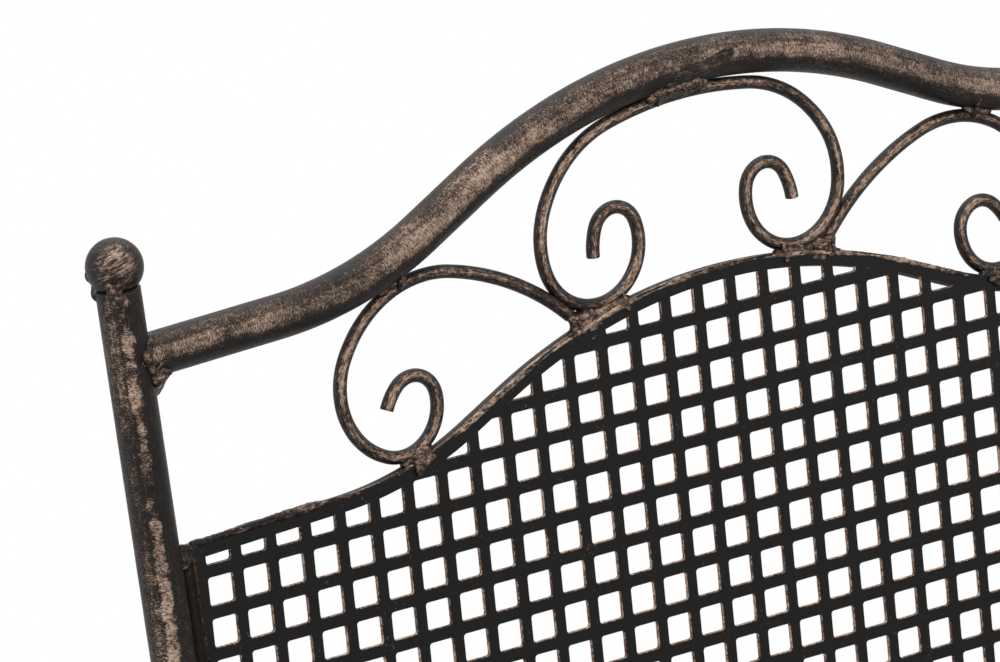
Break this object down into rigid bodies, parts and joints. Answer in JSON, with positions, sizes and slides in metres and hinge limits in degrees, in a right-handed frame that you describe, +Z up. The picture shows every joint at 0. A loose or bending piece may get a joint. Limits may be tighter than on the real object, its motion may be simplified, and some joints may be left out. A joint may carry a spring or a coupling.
{
  "type": "garden chair",
  "caption": "Garden armchair of welded round tube with scroll work under its crested top rail, ball finials, and a perforated sheet back and seat.",
  "frame": {"origin": "middle of the floor rectangle under the chair, at floor height", "axes": "+Z up, -Y the way the chair faces, +X to the right as seen from in front"},
  "size_m": [0.5172, 0.5808, 0.9363],
  "materials": {
    "tube_finish": "satin black-brown with rubbed bronze",
    "scroll_finish": "satin black-brown with rubbed bronze",
    "sheet_finish": "satin black-brown with bronze edges",
    "cap_plastic": "matte",
    "bolt_steel": "blackened"
  },
  "bodies": {
    "root": {"left_post": "tube_finish", "right_post": "tube_finish", "left_ball": "tube_finish", "right_ball": "tube_finish", "top_rail": "tube_finish", "lower_back_rail": "tube_finish", "panel_top_rod": "tube_finish", "left_panel_rod": "tube_finish", "right_panel_rod": "tube_finish", "back_panel": "sheet_finish", "left_scroll": "scroll_finish", "centre_scroll": "scroll_finish", "right_scroll": "scroll_finish", "left_arm": "tube_finish", "right_arm": "tube_finish", "left_arm_scroll": "scroll_finish", "right_arm_scroll": "scroll_finish", "left_stretcher": "tube_finish", "right_stretcher": "tube_finish", "cross_stretcher": "tube_finish", "seat_tube": "tube_finish", "seat_rear_tube": "tube_finish", "seat_panel": "sheet_finish", "left_seat_bar": "tube_finish", "right_seat_bar": "tube_finish", "front_left_cap": "cap_plastic", "front_right_cap": "cap_plastic", "rear_left_cap": "cap_plastic", "rear_right_cap": "cap_plastic", "seat_bolts": "bolt_steel", "seat_nuts": "bolt_steel", "seat_spacers": "cap_plastic", "saddle_washers": "bolt_steel", "arm_bolts": "bolt_steel", "arm_inserts": "bolt_steel", "stretcher_bolts": "bolt_steel", "stretcher_inserts": "bolt_steel"}
  },
  "joints": []
}
